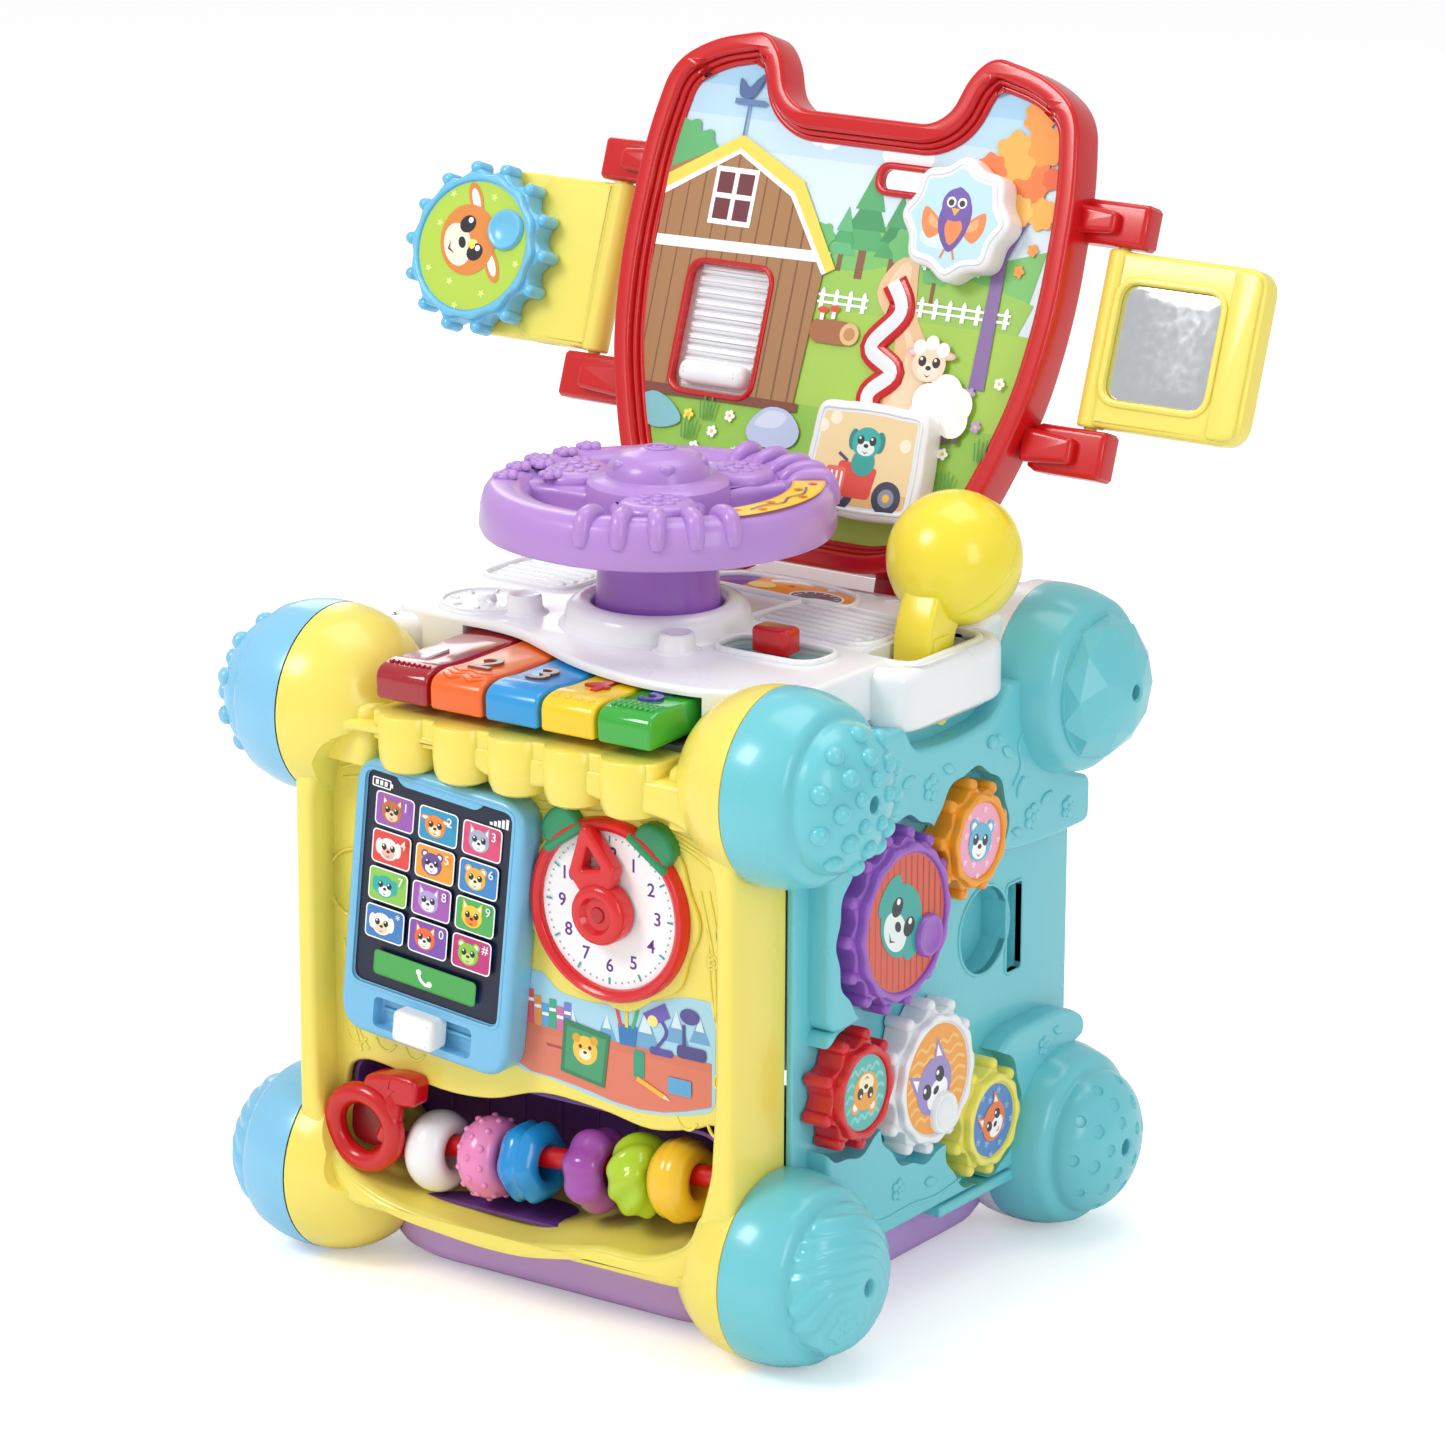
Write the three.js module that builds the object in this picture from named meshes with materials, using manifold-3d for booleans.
// Baby activity cube: a toy box on eight round corners, with a phone, a clock and beads on the
// front, piano keys and a steering wheel on top, gears on one side and a fold-down play panel
// behind. Millimetres, +Z up, -Y is the front with the phone, +X is the side with the gears.
// The origin is on the floor, in the middle of the base.
import * as THREE from 'three';
import { mergeVertices } from 'three/addons/utils/BufferGeometryUtils.js';
import Module from 'manifold-3d';

const wasm = await Module();
wasm.setup();

// ---------------------------------------------------------------- driving dimensions
const GAP = 0.4;                        // between pieces that touch
const WALL = 3;                         // moulded shell thickness

const SIDE_X = 115.5;                   // parting plane between a side panel and the front
const SHELL = { low: 34, high: 262, frontY: -135, sideY: -96, backY: 124 };

const BALL = { y: 104, lowZ: 42.5, highZ: 253, r: 42.2, ringX: 146, ringR: 32.5, tipX: 165, innerX: 74 };

const BASE = { flat: 84, bevel: 24, rise: 14, top: 33 };

const FRONT = { floorY: -119, backY: -115.6, rimHalf: 106, rimLow: 44, rimHigh: 251 };
const BAY = { half: 97, low: 39.4, high: 97, backY: -68 };

const CONSOLE = { top: 287, deck: 279, deckY: 74, backY: 119 };
const KEY = { count: 5, pitch: 29, width: 27.4, midX: 1, frontY: -133, backY: -64, low: 268, high: 281.5 };
const KEY_HINGE = { y: -62, z: 274 };

const WHEEL = { x: 0, y: -25.5, low: 331, rim: 347.5, r: 75.5, columnLow: 27, columnHigh: 24, collar: 38 };
const LEVER = { x: 112, y: 12, z: 258, ballY: 36, ballZ: 320, ballR: 29.5 };
const SWITCH = { x: 68, y: -35, travel: 8 };

const PHONE = { x: -42.6, z: 173.6, tilt: 5.75, width: 90, height: 125, frontY: -134 };
const CLOCK = { x: 44, z: 190.5, r: 38 };

const RAIL = { r: 4.7, y: -110, slope: 0.11, midX: 8, midZ: 68.5, endX: 95.4 };
const BEAD = { r: 18, thickness: 19.6, bore: 8.4 };
const BEADS = [
  ['bead_white', -56.6, 0xffffff],
  ['bead_pink', -28, 0xee8fc0],
  ['bead_blue', -6, 0x2c9bdb],
  ['bead_purple', 28.6, 0xa64ca8],
  ['bead_lime', 52, 0xb4d334],
  ['bead_yellow', 73, 0xf6c52b],
];

const GEAR = { module: 5.43, back: 119.2, teethFace: 132.5, face: 136, post: 4, bore: 4.4 };
const GEARS = [
  ['gear_purple', 14, -34.5, 178.8, 0x9b5fc0],
  ['gear_orange', 9, 23.9, 200.6, 0xf39a1e],
  ['gear_white', 12, -8, 101.2, 0xffffff],
  ['gear_red', 9, -64.1, 111.2, 0xd8232a],
  ['gear_yellow', 9, 38.4, 68.7, 0xf3e45a],
];

// The play panel stands on a hinge behind the console and leans back. Its own frame has
// x across, z up the panel and y to its back, with the origin at the middle of its foot.
const PANEL = { y: 78, z: 288, lean: 19.3, front: -14, board: -6, back: 6 };
const PANEL_PIVOT = { y: 31.9, z: -6.4, barrel: 8.5, pin: 4, arms: [-48, 48], armHalf: 8 };
const EAR = { x: 133, y: 6, low: [61.5, 83], high: [163.5, 183], reach: 145, pin: 3 };

// ---------------------------------------------------------------- solids
function solid(geometry) {
  const bare = geometry.clone();
  bare.deleteAttribute('normal');
  bare.deleteAttribute('uv');
  const merged = mergeVertices(bare, 1e-4);
  const mesh = new wasm.Mesh({
    numProp: 3,
    vertProperties: new Float32Array(merged.attributes.position.array),
    triVerts: new Uint32Array(merged.index.array),
  });
  return new wasm.Manifold(mesh);
}

function geometryOf(body) {
  const mesh = body.getMesh();
  const geometry = new THREE.BufferGeometry();
  geometry.setAttribute('position', new THREE.Float32BufferAttribute(mesh.vertProperties, 3));
  geometry.setIndex(Array.from(mesh.triVerts));
  geometry.computeVertexNormals();
  return geometry;
}

const join = (...bodies) => bodies.reduce((whole, next) => whole.add(next));
const cut = (body, ...tools) => tools.reduce((left, tool) => left.subtract(tool), body);
const radians = THREE.MathUtils.degToRad;

// A box from its low and high corners.
function block(x0, x1, y0, y1, z0, z1) {
  const box = new THREE.BoxGeometry(x1 - x0, y1 - y0, z1 - z0);
  return solid(box.translate((x0 + x1) / 2, (y0 + y1) / 2, (z0 + z1) / 2));
}

// A straight round bar along one axis. a and b are its place on the other two, in X, Y, Z order.
function rod(axis, r, from, to, a, b, sides = 16, r2 = r) {
  const cylinder = new THREE.CylinderGeometry(r2, r, to - from, sides);
  const middle = (from + to) / 2;
  if (axis === 'x') return solid(cylinder.rotateZ(-Math.PI / 2).translate(middle, a, b));
  if (axis === 'y') return solid(cylinder.translate(a, middle, b));
  return solid(cylinder.rotateX(Math.PI / 2).translate(a, b, middle));
}

// An outline of [u, v] points as a shape, with every corner rounded by its own radius.
function roundedShape(points, radius) {
  const shape = new THREE.Shape();
  const corner = points.map(([u, v, r]) => ({ at: new THREE.Vector2(u, v), r: r ?? radius }));
  corner.forEach(({ at, r }, i) => {
    const before = corner[(i + corner.length - 1) % corner.length].at;
    const after = corner[(i + 1) % corner.length].at;
    const reach = Math.min(r, at.distanceTo(before) / 2.02, at.distanceTo(after) / 2.02);
    const start = at.clone().add(before.clone().sub(at).setLength(reach));
    const end = at.clone().add(after.clone().sub(at).setLength(reach));
    if (i === 0) shape.moveTo(start.x, start.y);
    else shape.lineTo(start.x, start.y);
    shape.quadraticCurveTo(at.x, at.y, end.x, end.y);
  });
  shape.closePath();
  return shape;
}

const rectangle = (u, v, halfU, halfV, r) => roundedShape(
  [[u - halfU, v - halfV], [u + halfU, v - halfV], [u + halfU, v + halfV], [u - halfU, v + halfV]],
  r,
);

function circle(u, v, r) {
  const shape = new THREE.Shape();
  shape.absarc(u, v, r, 0, Math.PI * 2, false);
  return shape;
}

// A slab of a shape in the XY plane, from z0 to z1.
function slabZ(shape, z0, z1, steps = 4) {
  const geometry = new THREE.ExtrudeGeometry(shape, { depth: z1 - z0, bevelEnabled: false, curveSegments: steps });
  return solid(geometry.translate(0, 0, z0));
}

// A slab of a shape drawn as [x, z], from y0 to y1.
function slabY(shape, y0, y1, steps = 4) {
  const geometry = new THREE.ExtrudeGeometry(shape, { depth: y1 - y0, bevelEnabled: false, curveSegments: steps });
  return solid(geometry.rotateX(Math.PI / 2).translate(0, y1, 0));
}

// A slab of a shape drawn as [y, z], from x0 to x1.
function slabX(shape, x0, x1, steps = 4) {
  const geometry = new THREE.ExtrudeGeometry(shape, { depth: x1 - x0, bevelEnabled: false, curveSegments: steps });
  return solid(geometry.rotateX(Math.PI / 2).rotateZ(Math.PI / 2).translate(x0, 0, 0));
}

// A solid of revolution about +Z from [radius, height] points, lowest first.
const turned = (points, sides) => solid(
  new THREE.LatheGeometry(points.map(([r, h]) => new THREE.Vector2(r, h)), sides).rotateX(Math.PI / 2),
);

// ---------------------------------------------------------------- the model
const cube = new THREE.Group();
const panel = new THREE.Group();
panel.position.set(0, PANEL.y, PANEL.z);
panel.rotation.x = -radians(PANEL.lean);
cube.add(panel);

function piece(name, body, color, { into = cube, at = [0, 0, 0], turn = [0, 0, 0], roughness = 0.35 } = {}) {
  const material = new THREE.MeshStandardMaterial({ color, roughness, metalness: 0 });
  const mesh = new THREE.Mesh(geometryOf(body), material);
  mesh.name = name;
  mesh.position.set(...at);
  mesh.rotation.set(...turn);
  into.add(mesh);
  return mesh;
}

const COLOR = {
  yellow: 0xf5e46a, teal: 0x6cc9cf, blue: 0x86cbea, white: 0xfafafa, purple: 0x9657b5, wheel: 0xb08ac9,
  lilac: 0xc39bd8, red: 0xe1251b, phone: 0x7cc0e4, navy: 0x0b1b3a, steel: 0x9a9ca0, dark: 0x2b2b30,
};

// ---------------------------------------------------------------- round corners
// Half of a corner, as a solid of revolution about X. side is +1 or -1.
function corner(profile, side, y, z, sides = 16) {
  const body = turned(profile, sides);
  const toX = body.rotate([0, side > 0 ? 90 : -90, 0]);
  return toX.translate([0, y, z]);
}

const OUTER = [
  [0, SIDE_X - 5], [BALL.r, SIDE_X - 5], [BALL.r, SIDE_X + 6], [39.6, 140], [BALL.ringR, BALL.ringX], [27, 156],
  [14.5, 163.2], [0, BALL.tipX],
];
const OUTER_HOLLOW = [[0, 100], [38.4, 100], [38.4, 122], [35, 138], [22, 152], [0, 160.6]];
const OUTER_HOLLOW_SHORT = [[0, SIDE_X + WALL], [38.2, SIDE_X + WALL], [35, 138], [22, 152], [0, 160.6]];
const INNER = [[0, BALL.innerX], [22, 80.6], [35.6, 94.2], [40.8, 106], [BALL.r, SIDE_X - 0.3]];
const INNER_HOLLOW = [[0, BALL.innerX + WALL + 2], [21, 86], [31.8, 97], [38, SIDE_X + 1]];
const INNER_ROOM = [[0, BALL.innerX - 1], [22.6, 79.6], [36.4, 93.2], [41.6, 105], [BALL.r + 1, SIDE_X + 1]];
const closed = (profile) => [...profile, [0, profile[profile.length - 1][1]]];

const CORNERS = [
  ['front_low', -BALL.y, BALL.lowZ], ['front_high', -BALL.y, BALL.highZ],
  ['rear_low', BALL.y, BALL.lowZ], ['rear_high', BALL.y, BALL.highZ],
];

// ---------------------------------------------------------------- gears
// Rounded teeth: the radius swings evenly about the pitch circle, so two of them roll together.
function gearShape(teeth, bump, phase = 0, backlash = 0.55) {
  const pitchR = (teeth * GEAR.module) / 2;
  const steps = teeth * 5;
  const points = Array.from({ length: steps }, (_, i) => {
    const angle = (i / steps) * Math.PI * 2;
    const r = pitchR - backlash + bump * Math.cos(teeth * (angle - phase));
    return new THREE.Vector2(r * Math.cos(angle), r * Math.sin(angle));
  });
  return new THREE.Shape(points);
}

// The turn that puts a follower's tooth gap where the driver's tooth points at it.
function meshedPhase(driver, follower) {
  const [, teethA, ya, za] = driver;
  const [, teethB, yb, zb] = follower;
  const towards = Math.atan2(zb - za, yb - ya);
  const driverTurn = teethA * (towards - driver.phase);
  return towards + Math.PI - (Math.PI - driverTurn) / teethB;
}

GEARS[0].phase = 0;
GEARS[2].phase = 0;
GEARS[1].phase = meshedPhase(GEARS[0], GEARS[1]);
GEARS[3].phase = meshedPhase(GEARS[2], GEARS[3]);
GEARS[4].phase = meshedPhase(GEARS[2], GEARS[4]);
const gearOuter = (teeth) => (teeth * GEAR.module) / 2 + 3.6;

for (const gear of GEARS) {
  const [name, teeth, y, z, color] = gear;
  const pitchR = (teeth * GEAR.module) / 2;
  const wheel = slabX(gearShape(teeth, 3.4, gear.phase), GEAR.back, GEAR.teethFace);
  const face = rod('x', pitchR - 4.5, GEAR.teethFace - 1, GEAR.face, 0, 0, 20);
  const bore = rod('x', GEAR.bore, GEAR.back - 1, GEAR.face - 3, 0, 0, 12);
  const finger = rod('x', 5, GEAR.face - 2.4, GEAR.face + 1, 0.4 * pitchR, -0.36 * pitchR, 8, 7);
  const whole = cut(join(wheel, face), bore);
  piece(name, teeth > 9 ? cut(whole, finger) : whole, color, { at: [0, y, z] });
}

// ---------------------------------------------------------------- side panels
const RAISED = { low: 118, high: 130 };
const RAISED_HIGH = [[-84, 140], [-84, 262], [98, 262], [100, 240], [SHELL.backY, 205], [SHELL.backY, 184, 4],
  [84, 184], [50, 186, 8], [20, 194], [-20, 150], [-62, 140]];
const RAISED_LOW = [[-84, 38], [-84, 141], [-62, 141], [-30, 110], [20, 90], [52, 92], [60, 100, 12], [116, 100, 6],
  [118, 84], [92, 74], [66, 62], [66, 38]];

function sidePanel(side) {
  const plate = slabX(roundedShape([[-95.6, 34], [SHELL.backY, 34, 3], [SHELL.backY, 262, 3], [-95.6, 262]], 2), SIDE_X, 118.5);
  const raised = join(
    slabX(roundedShape(RAISED_HIGH, 8), RAISED.low, RAISED.high, 2),
    slabX(roundedShape(RAISED_LOW, 8), RAISED.low, RAISED.high, 2),
  );
  const pockets = GEARS.map(([, teeth, y, z]) => rod('x', gearOuter(teeth) + 1.8, 118.5, 131, y, z, 20));
  const posts = GEARS.map(([, , y, z]) => rod('x', GEAR.post, 117, GEAR.face - 4, y, z, 10));
  const cups = join(rod('x', 22, 104, 117, 54, 149, 20), block(104, 117, 71, 87, 122, 166));
  const grip = rod('x', 19.5, 106, 130, 54, 149, 20);
  const slot = block(106, 130, 73, 85, 124, 164);
  const boot = block(100, 140, -28.6, 52.6, 254.4, 300);
  let body = join(plate, raised);
  if (side > 0) body = join(cut(body, ...pockets), ...posts);
  if (side > 0) body = cut(body, boot, block(114, 124.4, -17.6, 41.6, 246, 300));
  for (const [name, y, z] of CORNERS) {
    body = join(body, corner(OUTER, 1, y, z));
    const hollow = name.startsWith('front') ? OUTER_HOLLOW : OUTER_HOLLOW_SHORT;
    body = cut(body, corner(hollow, 1, y, z, 10));
    body = join(body, rod('x', 7, SIDE_X + 1, 162, y, z, 8));
    body = cut(body, rod('x', 4, 150, 170, y, z, 8), rod('x', 2.1, 100, 151, y, z, 6));
    if (!name.startsWith('front')) body = cut(body, rod('x', 6, 105, 126, y - 22, z, 6));
  }
  body = cut(body, block(90, SIDE_X, -150, 150, 0, 300));
  body = cut(join(body, cups), grip, slot);
  return side > 0 ? body : body.mirror([1, 0, 0]);
}

piece('right_side_panel', sidePanel(1), COLOR.teal);
piece('left_side_panel', sidePanel(-1), COLOR.blue);

for (const side of [1, -1]) {
  for (const [name, y, z] of CORNERS) {
    const head = rod('x', 3.6, 150.4, 153.4, 0, 0, 8);
    const shank = rod('x', 1.7, 118, 151, 0, 0, 6);
    const screw = join(head, shank);
    const body = side > 0 ? screw : screw.mirror([1, 0, 0]);
    piece(`${side > 0 ? 'right' : 'left'}_screw_${name}`, body, COLOR.steel, { at: [0, y, z], roughness: 0.3 });
  }
}

// ---------------------------------------------------------------- front panel
const keyX = (i) => KEY.midX + KEY.pitch * (i - (KEY.count - 1) / 2);
const phoneTurn = radians(PHONE.tilt);

function frontPanel() {
  const edge = SIDE_X - 0.3;
  let body = slabY(rectangle(0, 147, edge, 114, 34), SHELL.frontY, SHELL.sideY, 3);
  for (const side of [1, -1]) {
    for (const [name, y, z] of CORNERS.slice(0, 2)) {
      body = join(body, corner(closed(INNER), side, y, z));
    }
  }
  body = cut(body, slabY(rectangle(0, 147, FRONT.rimHalf, 103, 30), SHELL.frontY - 9, FRONT.floorY, 3));
  body = cut(body, slabY(rectangle(0, 147, 111.6, 110.5, 30), FRONT.backY, -40, 3));
  body = cut(body, slabY(rectangle(0, (BAY.low + BAY.high) / 2, BAY.half, (BAY.high - BAY.low) / 2, 12), -140, -100));
  for (const side of [1, -1]) {
    for (const [name, y, z] of CORNERS.slice(0, 2)) {
      body = cut(body, corner(closed(INNER_HOLLOW), side, y, z, 10));
    }
  }
  for (let i = 0; i < KEY.count; i += 1) {
    body = join(body, rod('z', 12.6, 246, 261, keyX(i), -124, 12));
  }
  body = cut(body, block(-74, 76, -112, -60, 261, 300), rod('y', 4.4, -125, -100, CLOCK.x, CLOCK.z, 12));
  return cut(body, slabY(rectangle(0, 147, 111.6, 110.5, 30), FRONT.backY, -40, 3));
}

piece('front_panel', frontPanel(), COLOR.yellow);

function beadTray() {
  const midZ = (BAY.low + BAY.high) / 2;
  const halfZ = (BAY.high - BAY.low) / 2;
  const outer = slabY(rectangle(0, midZ, BAY.half + 1.9, halfZ + 2, 19), FRONT.backY + 0.4, BAY.backY);
  const inner = slabY(rectangle(0, midZ, BAY.half, halfZ, 14), FRONT.backY - 9, BAY.backY - 2.6);
  return cut(outer, inner);
}

piece('bead_tray', beadTray(), COLOR.purple);

// ---------------------------------------------------------------- bead rail
const railZ = (x) => RAIL.midZ + RAIL.slope * (x - RAIL.midX);

function tube(points, r, steps, sides = 8) {
  const curve = new THREE.CatmullRomCurve3(points.map((p) => new THREE.Vector3(...p)));
  const ring = new THREE.Shape(Array.from({ length: sides }, (_, i) => {
    const angle = (i / sides) * Math.PI * 2;
    return new THREE.Vector2(r * Math.cos(angle), r * Math.sin(angle));
  }));
  return solid(new THREE.ExtrudeGeometry(ring, { steps, bevelEnabled: false, extrudePath: curve }));
}

function beadRail() {
  const startX = -74;
  const line = [startX, 0, RAIL.endX].map((x) => [x, RAIL.y, railZ(x)]);
  const loop = { x: -84.5, y: -127.6, z: 68.8, r: 15.4 };
  const ring = solid(new THREE.TorusGeometry(loop.r, RAIL.r, 8, 16).rotateX(Math.PI / 2).translate(loop.x, loop.y, loop.z));
  const back = tube([[-84, -127, 54], [-81, -121, 55.5], [-78, -114, 57.5], [startX + 1, RAIL.y, railZ(startX + 1)]], RAIL.r, 6);
  const drop = tube([[-70, -124, 84], [-70, -125.5, 76], [-70, -127, 68]], RAIL.r, 2);
  const plug = slabY(rectangle(-70, 88, 14.5, 8.5, 5), -130, FRONT.floorY - GAP);
  return join(tube(line, RAIL.r, 3), ring, back, drop, plug);
}

piece('bead_rail', beadRail(), COLOR.red);

for (const [name, x, color] of BEADS) {
  const half = BEAD.thickness / 2;
  const rounded = [[BEAD.bore, -half + 2], [12.5, -half], [16.6, -half + 3.4], [BEAD.r, 0], [16.6, half - 3.4], [12.5, half],
    [BEAD.bore, half - 2], [BEAD.bore, -half + 2]];
  const body = turned(rounded, 16).rotate([0, 90, 0]).rotate([0, -THREE.MathUtils.radToDeg(Math.atan(RAIL.slope)), 0]);
  piece(name, body, color, { at: [x, RAIL.y, railZ(x) - 3] });
}

// ---------------------------------------------------------------- phone
const phone = new THREE.Group();
phone.position.set(PHONE.x, 0, PHONE.z);
phone.rotation.y = phoneTurn;
cube.add(phone);

function phoneCase() {
  let body = slabY(rectangle(0, 0, PHONE.width / 2, PHONE.height / 2, 14), PHONE.frontY, FRONT.floorY - GAP, 4);
  body = cut(body, slabY(rectangle(0, 9.5, 38.6, 48, 5), -140, PHONE.frontY + 1.6, 3));
  return cut(body, slabY(rectangle(0, -50.5, 26, 6.4, 3), -140, PHONE.frontY + 8, 2));
}

piece('phone_case', phoneCase(), COLOR.phone, { into: phone });
piece('phone_screen', slabY(rectangle(0, 9.5, 38.2, 47.6, 5), PHONE.frontY + 0.1, PHONE.frontY + 1.3, 3), COLOR.navy, {
  into: phone,
  roughness: 0.15,
});
piece('phone_slider', join(
  slabY(rectangle(0, -50.5, 9, 7.2, 3), -140, -134.4, 3),
  slabY(rectangle(0, -50.5, 7, 4, 2), -135, -126.5, 2),
), COLOR.white, { into: phone });

// ---------------------------------------------------------------- clock
const clockRing = turned([[4.4, 0], [CLOCK.r, 0], [CLOCK.r, 4.6], [35.6, 5.4], [34.4, 3.2], [4.4, 3.2], [4.4, 0]], 28)
  .rotate([90, 0, 0]);
piece('clock_dial', clockRing, COLOR.white, { at: [CLOCK.x, FRONT.floorY - GAP, CLOCK.z] });

function clockHand() {
  const hub = rod('y', 11, -136.5, -125, 0, 0, 20, 9);
  const pointer = slabY(roundedShape([[-7, 6], [7, 6], [5, 30], [0, 33], [-5, 30]], 2), -134, -126);
  const window = slabY(roundedShape([[-2.6, 15], [2.6, 15], [0, 25]], 1), -140, -120);
  const pin = rod('y', 3.9, -126, -110, 0, 0, 12);
  return join(cut(join(hub, pointer), window), pin);
}

piece('clock_hand', clockHand(), COLOR.red, { at: [CLOCK.x, 0, CLOCK.z], turn: [0, radians(-14), 0] });

// ---------------------------------------------------------------- keys
function key() {
  const side = roundedShape([
    [KEY.frontY, KEY.low, 1], [KEY.frontY, KEY.high - 1, 4], [KEY.frontY + 14, KEY.high + 0.5, 3], [-70, 282.6, 1],
    [KEY.backY, 282.6, 2], [KEY.backY, KEY.low + 1, 2],
  ], 1);
  const half = KEY.width / 2;
  const solidKey = slabX(side, -half, half, 2);
  const hollow = block(-half + 2.2, half - 2.2, KEY.frontY + 2.4, KEY.backY - 2.2, KEY.low - 1, KEY.high - 3);
  const barrel = rod('x', 3.4, -half, half, KEY_HINGE.y, KEY_HINGE.z, 10);
  return join(cut(solidKey, hollow), barrel);
}

const KEY_COLORS = [0xa81c22, 0xf26a21, 0x2b9bdc, 0xf7d21e, 0x3fb83a];
KEY_COLORS.forEach((color, i) => piece(`key_${i + 1}`, key(), color, { at: [keyX(i), 0, 0] }));
piece('key_contact_strip', block(-72, 74, -111.4, -96, 261.4, 264.2), 0x6d6f73, { roughness: 0.8 });

// ---------------------------------------------------------------- top console
const CONSOLE_EDGE = [[114.8, 118], [114.8, -80], [90, -96, 10], [76, -103], [47, -104.5], [0, -93], [-36, -74, 20], [-56, -68],
  [-80, -64], [-114.8, -62], [-114.8, 118]];

function topConsole() {
  const lowEdge = 262.4;
  const high = slabZ(roundedShape(CONSOLE_EDGE, 6), lowEdge, CONSOLE.top, 2);
  let body = cut(high, block(-120, 120, CONSOLE.deckY, 130, CONSOLE.deck, 300));
  body = cut(body, block(-111.5, 111.5, -112, 115.4, 250, CONSOLE.deck - WALL));
  body = cut(body, block(-111.5, 111.5, -112, CONSOLE.deckY - WALL, 250, CONSOLE.top - WALL));
  body = cut(body, block(-74.5, 76.5, -112, -50, 250, CONSOLE.top - WALL));
  body = cut(body, block(-87, 87, -140, -66, 250, CONSOLE.top - WALL));
  for (const side of [1, -1]) {
    const outer = [[0, 105.5], [BALL.r - 0.3, 105.5], [BALL.r - 0.3, 114.9], [0, 114.9]];
    const high = cut(corner(outer, side, BALL.y, BALL.highZ, 24), block(-200, 200, 0, 200, 100, lowEdge));
    body = join(body, high);
    body = cut(body, corner(closed([[0, 60], [BALL.r + GAP, 72], [BALL.r + GAP, 200]]), side, -BALL.y, BALL.highZ, 20));
  }
  const collar = rod('z', WHEEL.collar, CONSOLE.top - 1, 298, WHEEL.x, WHEEL.y, 24, WHEEL.collar - 4);
  const boot = slabZ(rectangle(110.5, 12, 19, 40, 12), 254.8, 283, 3);
  body = join(body, collar, cut(boot, block(60, 111.5, -60, 80, 200, 276)));
  body = join(body, rod('z', WHEEL.columnLow + 4.4, 268.4, CONSOLE.top - 1, WHEEL.x, WHEEL.y, 20));
  body = cut(body, rod('z', WHEEL.columnLow + 1.6, 240, 310, WHEEL.x, WHEEL.y, 20));
  body = cut(body, block(101, 123, -16, 40, 240, 310));
  body = cut(body, block(SWITCH.x - 20, SWITCH.x + 20, SWITCH.y - 3, SWITCH.y + 3, 270, 300));
  for (const x of PANEL_PIVOT.arms) {
    body = cut(body, block(x - 9, x + 9, 70, 130, 240, 300));
  }
  for (const x of [-62, 62]) {
    body = join(body, slabX(rectangle(106, 271.4, 8, 8, 4), x - 4, x + 4));
  }
  body = cut(body, rod('x', 4.4, -70, 70, 106, 271.4, 16));
  const posts = [[-58, -44], [33, -58]].map(([x, y]) => rod('z', 8, CONSOLE.top - 1, 293, x, y, 16, 7));
  return join(body, ...posts);
}

piece('top_console', topConsole(), COLOR.white);
piece('panel_hinge_pin', rod('x', 4, -66, 66, 106, 271.4, 16), COLOR.steel, { roughness: 0.3 });

piece('power_switch', join(
  slabZ(rectangle(0, 0, 9, 5.5, 3), CONSOLE.top + GAP, 297, 3),
  block(-5, 5, -2.6, 2.6, 281, CONSOLE.top + 2),
), COLOR.red, { at: [SWITCH.x, SWITCH.y, 0] });

// ---------------------------------------------------------------- steering wheel and lever
function steeringWheel() {
  const rim = turned([[52, WHEEL.low], [WHEEL.r - 3, WHEEL.low], [WHEEL.r, WHEEL.low + 4], [WHEEL.r, WHEEL.rim - 5],
    [WHEEL.r - 5, WHEEL.rim], [56, WHEEL.rim - 1], [52, WHEEL.low + 6], [52, WHEEL.low]], 30);
  const hub = turned([[0, WHEEL.low], [27, WHEEL.low], [31, WHEEL.low + 10], [30, 352], [21, 359], [0, 362]], 20);
  const spoke = block(20, 58, -15, 15, WHEEL.low, 346);
  const spokes = [65, 185, 305].map((angle) => spoke.rotate([0, 0, angle]));
  return join(rim, hub, ...spokes);
}

piece('steering_wheel', steeringWheel(), COLOR.wheel, { at: [WHEEL.x, WHEEL.y, 0] });
piece('steering_column', turned([
  [0, 262.6], [31, 262.6], [31, 267.6], [WHEEL.columnLow, 267.6], [WHEEL.columnLow, 298],
  [WHEEL.columnHigh, WHEEL.low - GAP], [0, WHEEL.low - GAP],
], 20), COLOR.purple, { at: [WHEEL.x, WHEEL.y, 0] });

function gearLever() {
  const stalk = slabX(roundedShape([[2, 252], [22, 252], [22, 290], [34, 306], [34, 320], [2, 320]], 3), 103, 121, 3);
  const ball = solid(new THREE.SphereGeometry(LEVER.ballR, 16, 10).translate(LEVER.x, LEVER.ballY, LEVER.ballZ));
  const axle = rod('x', 5, 99, 122.6, LEVER.y, LEVER.z, 12);
  return join(stalk, ball, axle);
}

piece('gear_lever', gearLever(), 0xf5e03a);

// ---------------------------------------------------------------- back, base and insides
piece('back_panel', slabY(rectangle(0, 148, 115, 113.6, 6), 120, 123), COLOR.white);

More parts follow.
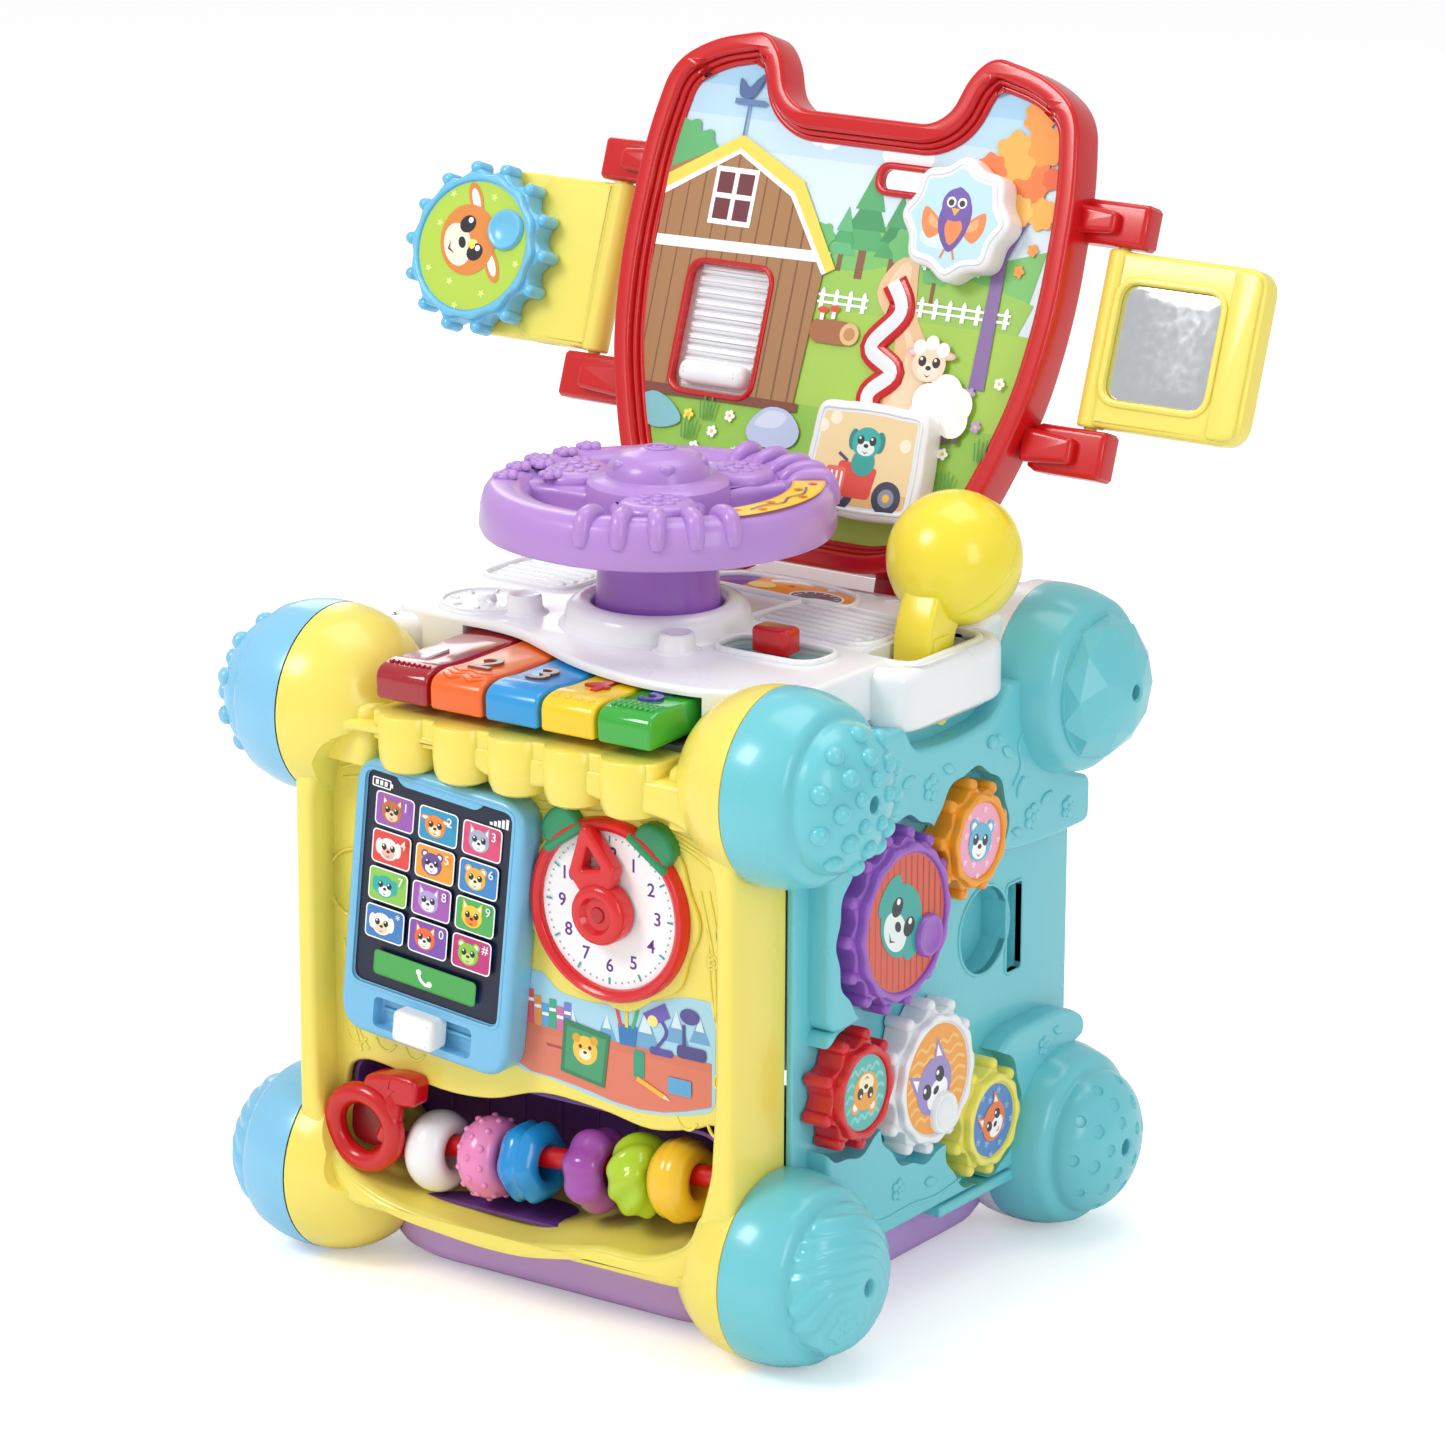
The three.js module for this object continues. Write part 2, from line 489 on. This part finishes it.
function basePlate() {
  const outline = rectangle(0, 0, BASE.flat, BASE.flat, 26);
  const bowl = new THREE.ExtrudeGeometry(outline, {
    depth: 40, bevelEnabled: true, bevelThickness: BASE.rise, bevelSize: BASE.bevel, bevelSegments: 3, curveSegments: 5,
  }).translate(0, 0, BASE.rise);
  let body = cut(solid(bowl), block(-150, 150, -150, 150, BASE.top, 120));
  const inner = new THREE.ExtrudeGeometry(rectangle(0, 0, BASE.flat - 2, BASE.flat - 2, 24), {
    depth: 60, bevelEnabled: true, bevelThickness: 12, bevelSize: 21, bevelSegments: 2, curveSegments: 4,
  }).translate(0, 0, 15.2);
  body = cut(body, solid(inner), block(-38, 38, 16, 82, -1, 8));
  for (const side of [1, -1]) {
    body = cut(body, corner(closed(INNER_ROOM), side, -BALL.y, BALL.lowZ));
  }
  const screwBoss = block(-6, 6, 70.5, 96, 4, 14);
  return cut(join(body, screwBoss), rod('z', 1.9, 2, 12, 0, 76, 8));
}

piece('base_plate', basePlate(), COLOR.lilac);
const doorPlate = slabZ(rectangle(0, 49, 37.6, 32.6, 3), 0.2, 3.4);
piece('battery_door', cut(doorPlate, rod('z', 3.6, -1, 2.2, 0, 76, 10), rod('z', 2, 1, 5, 0, 76, 8)), COLOR.lilac);
piece('battery_door_screw', join(rod('z', 3.2, 0.6, 1.8, 0, 76, 8), rod('z', 1.5, 1.6, 11, 0, 76, 6)), COLOR.steel, {
  roughness: 0.3,
});
for (const i of [0, 1, 2]) {
  const cell = join(rod('x', 7.2, -25, 24, 0, 0, 14), rod('x', 2.8, 23, 25.4, 0, 0, 8));
  piece(`battery_${i + 1}`, cell, COLOR.dark, { at: [0, 28 + 16 * i, 11.6] });
}
piece('circuit_board', block(-60, 60, -82, 20, 252, 253.6), 0x2f7a4a, { roughness: 0.6 });
piece('speaker', turned([[0, 0], [27, 0], [27, 3], [14, 14], [14, 22], [0, 22]], 20).rotate([90, 0, 0]), COLOR.dark, {
  at: [-30, 119.4, 150],
});

// ---------------------------------------------------------------- play panel
const FRAME_EDGE = [
  [-60, 3], [60, 3, 14], [84, 16, 14], [98, 35, 20], [106.5, 56, 24], [114.5, 88, 30], [116.5, 130, 40], [114.6, 184, 20],
  [108, 219, 14], [88, 232, 14], [58, 238, 9], [50, 226, 9], [46, 204, 12], [-46, 204, 12], [-50, 226, 9],
  [-58, 238, 9], [-88, 232, 14], [-108, 219, 14], [-114.6, 184, 20], [-116.5, 130, 40], [-114.5, 88, 30],
  [-106.5, 56, 24], [-98, 35, 20], [-84, 16, 14],
];

// An outline that runs anticlockwise, moved inwards by a set distance.
function inward(points, distance) {
  const at = (i) => new THREE.Vector2(...points[(i + points.length) % points.length].slice(0, 2));
  const inwardNormal = (from, to) => {
    const edge = to.clone().sub(from).normalize();
    return new THREE.Vector2(-edge.y, edge.x);
  };
  return points.map(([, , r], i) => {
    const before = inwardNormal(at(i - 1), at(i));
    const after = inwardNormal(at(i), at(i + 1));
    const step = before.clone().add(after).multiplyScalar(distance / (1 + before.dot(after)));
    const moved = at(i).add(step);
    return [moved.x, moved.y, r];
  });
}

const FEATURE = {
  window: [-58, 102, 21.5, 29],
  bird: { x: 60, z: 179, travel: 44, left: 4 },
  dog: { x: 34, z: 64, travel: 58 },
};

function frameBody() {
  let body = slabY(roundedShape(FRAME_EDGE, 12), PANEL.front, PANEL.back, 2);
  body = cut(body, slabY(roundedShape(inward(FRAME_EDGE, 12), 10), PANEL.front - 1, PANEL.back - WALL, 2));
  for (const side of [1, -1]) {
    for (const [low, high] of [EAR.low, EAR.high]) {
      const ear = side > 0 ? [108, EAR.reach] : [-EAR.reach, -108];
      const lug = slabZ(rectangle((ear[0] + ear[1]) / 2, EAR.y, (ear[1] - ear[0]) / 2, 6.6, 5), low, high, 2);
      body = join(body, cut(lug, block(-112, 112, -20, 20, 0, 300)));
    }
    body = cut(body, rod('z', EAR.pin + 0.5, EAR.low[1] - 12, EAR.high[0] + 12, side * EAR.x, EAR.y, 12));
  }
  for (const x of PANEL_PIVOT.arms) {
    const half = PANEL_PIVOT.armHalf;
    const arm = slabX(roundedShape([
      [PANEL.back - 1, -10, 1], [20, -14.5, 2], [PANEL_PIVOT.y, -14.8, 2], [PANEL_PIVOT.y, 1.6, 2], [12, 1.6, 2],
      [PANEL.back - 1, 14, 1],
    ], 1), x - half, x + half, 1);
    const barrel = rod('x', PANEL_PIVOT.barrel, x - half, x + half, PANEL_PIVOT.y, PANEL_PIVOT.z, 20);
    body = join(body, arm, barrel);
  }
  body = cut(body, rod('x', PANEL_PIVOT.pin + 0.4, -80, 80, PANEL_PIVOT.y, PANEL_PIVOT.z, 16));
  return cut(body, ...throughSlots(-20, 20));
}

function throughSlots(front, back) {
  const { window, bird, dog } = FEATURE;
  return [
    slabY(rectangle(window[0], window[1], window[2], window[3], 8), front, back, 2),
    slabY(rectangle(bird.x - bird.travel / 2, bird.z, bird.travel / 2 + 4.6, 4.6, 4), front, back, 2),
    slabY(rectangle(dog.x, dog.z + dog.travel / 2, 4.6, dog.travel / 2 + 4.6, 4), front, back, 2),
  ];
}

piece('play_panel_frame', frameBody(), COLOR.red, { into: panel });

function sceneBoard() {
  const plate = slabY(roundedShape(inward(FRAME_EDGE, 13.6), 10), PANEL.board, PANEL.board + 2.4, 2);
  return cut(plate, ...throughSlots(-20, 20));
}

piece('scene_board', sceneBoard(), 0xbfe0c0, { into: panel, roughness: 0.5 });

// The shutter runs behind the board and rises behind the barn wall.
function shutter() {
  const [x, z, halfX, halfZ] = FEATURE.window;
  const sheet = block(x - halfX - 4, x + halfX + 4, PANEL.board + 3, PANEL.board + 5.4, z - halfZ - 3, z + halfZ + 3);
  const bar = rod('x', 5, x - halfX + 3, x + halfX - 3, PANEL.board + 1, z - halfZ + 10, 10);
  return join(sheet, bar);
}

piece('shutter', shutter(), COLOR.white, { into: panel });

// A picture block with a pin through its slot and a keeper disc behind the panel.
function rider(shape, stemX, stemZ) {
  const face = slabY(shape, PANEL.board - 14, PANEL.board - GAP - 0.6, 2);
  const stem = rod('y', 4, PANEL.board - 2, 11, stemX, stemZ, 12);
  const keeper = rod('y', 9, PANEL.back + 0.6, PANEL.back + 3.4, stemX, stemZ, 14);
  return join(face, stem, keeper);
}

const blob = (x, z, wide, high, bump, count) => new THREE.Shape(Array.from({ length: 30 }, (_, i) => {
  const angle = (i / 30) * Math.PI * 2;
  const swell = 1 + bump * Math.cos(count * angle + 0.6);
  return new THREE.Vector2(x + wide * swell * Math.cos(angle), z + high * swell * Math.sin(angle));
}));

const { bird, dog } = FEATURE;
piece('bird_slider', rider(blob(bird.x, bird.z - 15, 27.5, 25, 0.05, 5), bird.x, bird.z), COLOR.white, { into: panel });
piece('dog_slider', rider(rectangle(dog.x + 4, 53, 30, 26, 8), dog.x, dog.z), COLOR.white, { into: panel });

function flap(side, reach) {
  const low = EAR.low[1] + 0.8;
  const high = EAR.high[0] - 0.8;
  const barrel = rod('z', 6.4, low, high, EAR.x, EAR.y, 16);
  const pins = rod('z', EAR.pin, low - 10, high + 10, EAR.x, EAR.y, 12);
  const mid = (low + high) / 2;
  const plate = slabY(roundedShape([
    [EAR.x, low, 1], [reach, low, 12], [reach, high, 12], [EAR.x, high, 1],
  ], 1), EAR.y - 6.2, EAR.y + 6.2, 3);
  return { body: join(barrel, pins, plate), mid };
}

const right = flap(1, 208);
const mirrorAt = [163.5, right.mid, 24.5, 25];
const mirrorHole = slabY(rectangle(mirrorAt[0], mirrorAt[1], mirrorAt[2], mirrorAt[3], 8), -20, EAR.y - 3.4, 3);
piece('right_flap', cut(right.body, mirrorHole), COLOR.yellow, { into: panel });
piece('flap_mirror', slabY(rectangle(mirrorAt[0], mirrorAt[1], 24.1, 24.6, 8), EAR.y - 5, EAR.y - 3.8, 3), 0xd8dadd, {
  into: panel,
  roughness: 0.05,
});

const left = flap(-1, 206);
const gearHub = [198, 122.7];
const spindle = rod('y', 4, -12.5, 1, gearHub[0], gearHub[1], 14);
const leftBody = join(cut(left.body, rod('y', 43, -10, -0.2, gearHub[0], gearHub[1], 28)), spindle);
piece('left_flap', leftBody.mirror([1, 0, 0]), COLOR.yellow, { into: panel });
const flapGear = cut(
  slabY(gearShape(14, 3.4, 0, 0), -15, -1),
  rod('y', 4.4, -13.2, 2, 0, 0, 14),
);
piece('flap_gear', flapGear, 0x7cc4ea, { into: panel, at: [-gearHub[0], 0, gearHub[1]] });

export default cube;
